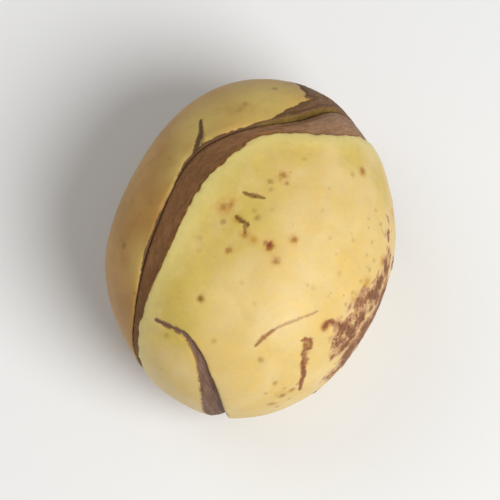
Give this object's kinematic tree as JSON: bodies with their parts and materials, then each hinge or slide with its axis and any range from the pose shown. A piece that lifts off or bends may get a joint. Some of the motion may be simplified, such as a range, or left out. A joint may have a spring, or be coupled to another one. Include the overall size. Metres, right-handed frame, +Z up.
{
  "type": "kola nut",
  "caption": "Whole fresh kola nut with cream skin: seed halves lying face to face along a brown fibrous seam, with a side cleft, specks and scars, lying on a small flat spot.",
  "frame": {"origin": "middle of the nut's bounding box, on the surface it lies on", "axes": "+Y towards the rounded far end, near the nut's long axis, +Z up from the surface it lies on, +X to the right of the picture's view"},
  "size_m": [0.0338, 0.0396, 0.028],
  "materials": {
    "front_skin": "pale cream-yellow waxy seed skin, slightly satin, with rusty specks, scars and a brown fibrous margin along the seam",
    "back_skin": "tan-cream waxy seed skin, slightly satin, with brown blotches and a narrow brown margin along the seam"
  },
  "bodies": {
    "root": {"cotyledon_front": "front_skin", "cotyledon_back": "back_skin"}
  },
  "joints": []
}
